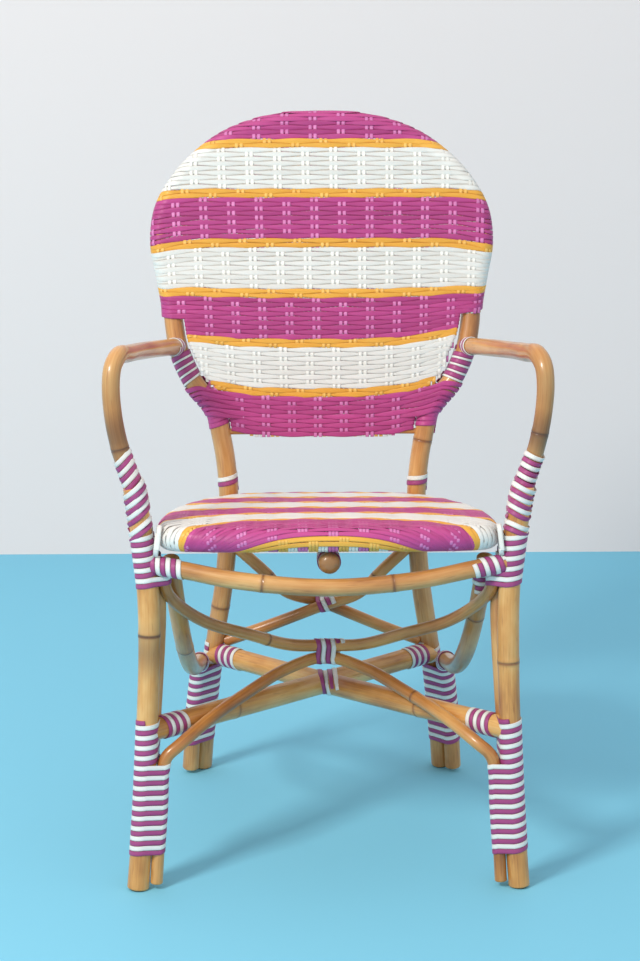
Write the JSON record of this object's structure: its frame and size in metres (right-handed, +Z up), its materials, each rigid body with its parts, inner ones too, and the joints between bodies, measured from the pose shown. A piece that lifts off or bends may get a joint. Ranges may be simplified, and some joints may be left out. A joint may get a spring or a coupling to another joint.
{
  "type": "armchair",
  "caption": "Rattan bistro armchair with lashed pole joints, a woven seat and a tall rounded woven back in magenta, white and yellow bands.",
  "frame": {"origin": "centre of the chair's footprint box, on the floor under the glides", "axes": "+Z up, the sitter faces -Y, +X to the right as seen from the front"},
  "size_m": [0.5334, 0.5424, 0.899],
  "materials": {
    "rattan": "varnished rattan pole",
    "slim_rattan": "varnished thin rattan",
    "weave": "satin woven strips in magenta, white and yellow bands",
    "strip_magenta": "satin binding strip",
    "strip_white": "satin binding strip",
    "steel": "zinc plated",
    "glide": "matt"
  },
  "bodies": {
    "root": {"back_frame": "rattan", "front_leg_left": "rattan", "arm_left": "rattan", "front_leg_right": "rattan", "arm_right": "rattan", "seat_ring": "rattan", "front_rail": "rattan", "seat_bearer": "rattan", "stretcher_left": "rattan", "stretcher_right": "rattan", "lower_brace": "slim_rattan", "upper_brace": "slim_rattan", "side_brace_left": "rattan", "side_brace_right": "rattan", "rear_brace_left": "slim_rattan", "rear_brace_right": "slim_rattan", "back_bottom_rod": "slim_rattan", "woven_back": "weave", "woven_seat": "weave", "front_leg_lashing_left": "strip_magenta", "front_leg_lashing_white_left": "strip_white", "seat_joint_lashing_left": "strip_magenta", "arm_lashing_left": "strip_magenta", "arm_back_lashing_left": "strip_magenta", "back_corner_lashing_left": "strip_magenta", "back_leg_lashing_left": "strip_magenta", "post_lashing_left": "strip_white", "stretcher_front_lashing_left": "strip_magenta", "stretcher_rear_lashing_left": "strip_magenta", "front_glide_left": "glide", "back_glide_left": "glide", "front_leg_lashing_right": "strip_magenta", "front_leg_lashing_white_right": "strip_white", "seat_joint_lashing_right": "strip_magenta", "arm_lashing_right": "strip_magenta", "arm_back_lashing_right": "strip_magenta", "back_corner_lashing_right": "strip_magenta", "back_leg_lashing_right": "strip_magenta", "post_lashing_right": "strip_white", "stretcher_front_lashing_right": "strip_magenta", "stretcher_rear_lashing_right": "strip_magenta", "front_glide_right": "glide", "back_glide_right": "glide", "cross_lashing": "strip_magenta", "tie_lashing": "strip_magenta", "rear_tie_lashing": "strip_magenta", "bearer_lashing": "strip_magenta", "arm_screw_left": "steel", "leg_screw_left": "steel", "post_screw_left": "steel", "arm_screw_right": "steel", "leg_screw_right": "steel", "post_screw_right": "steel"}
  },
  "joints": []
}
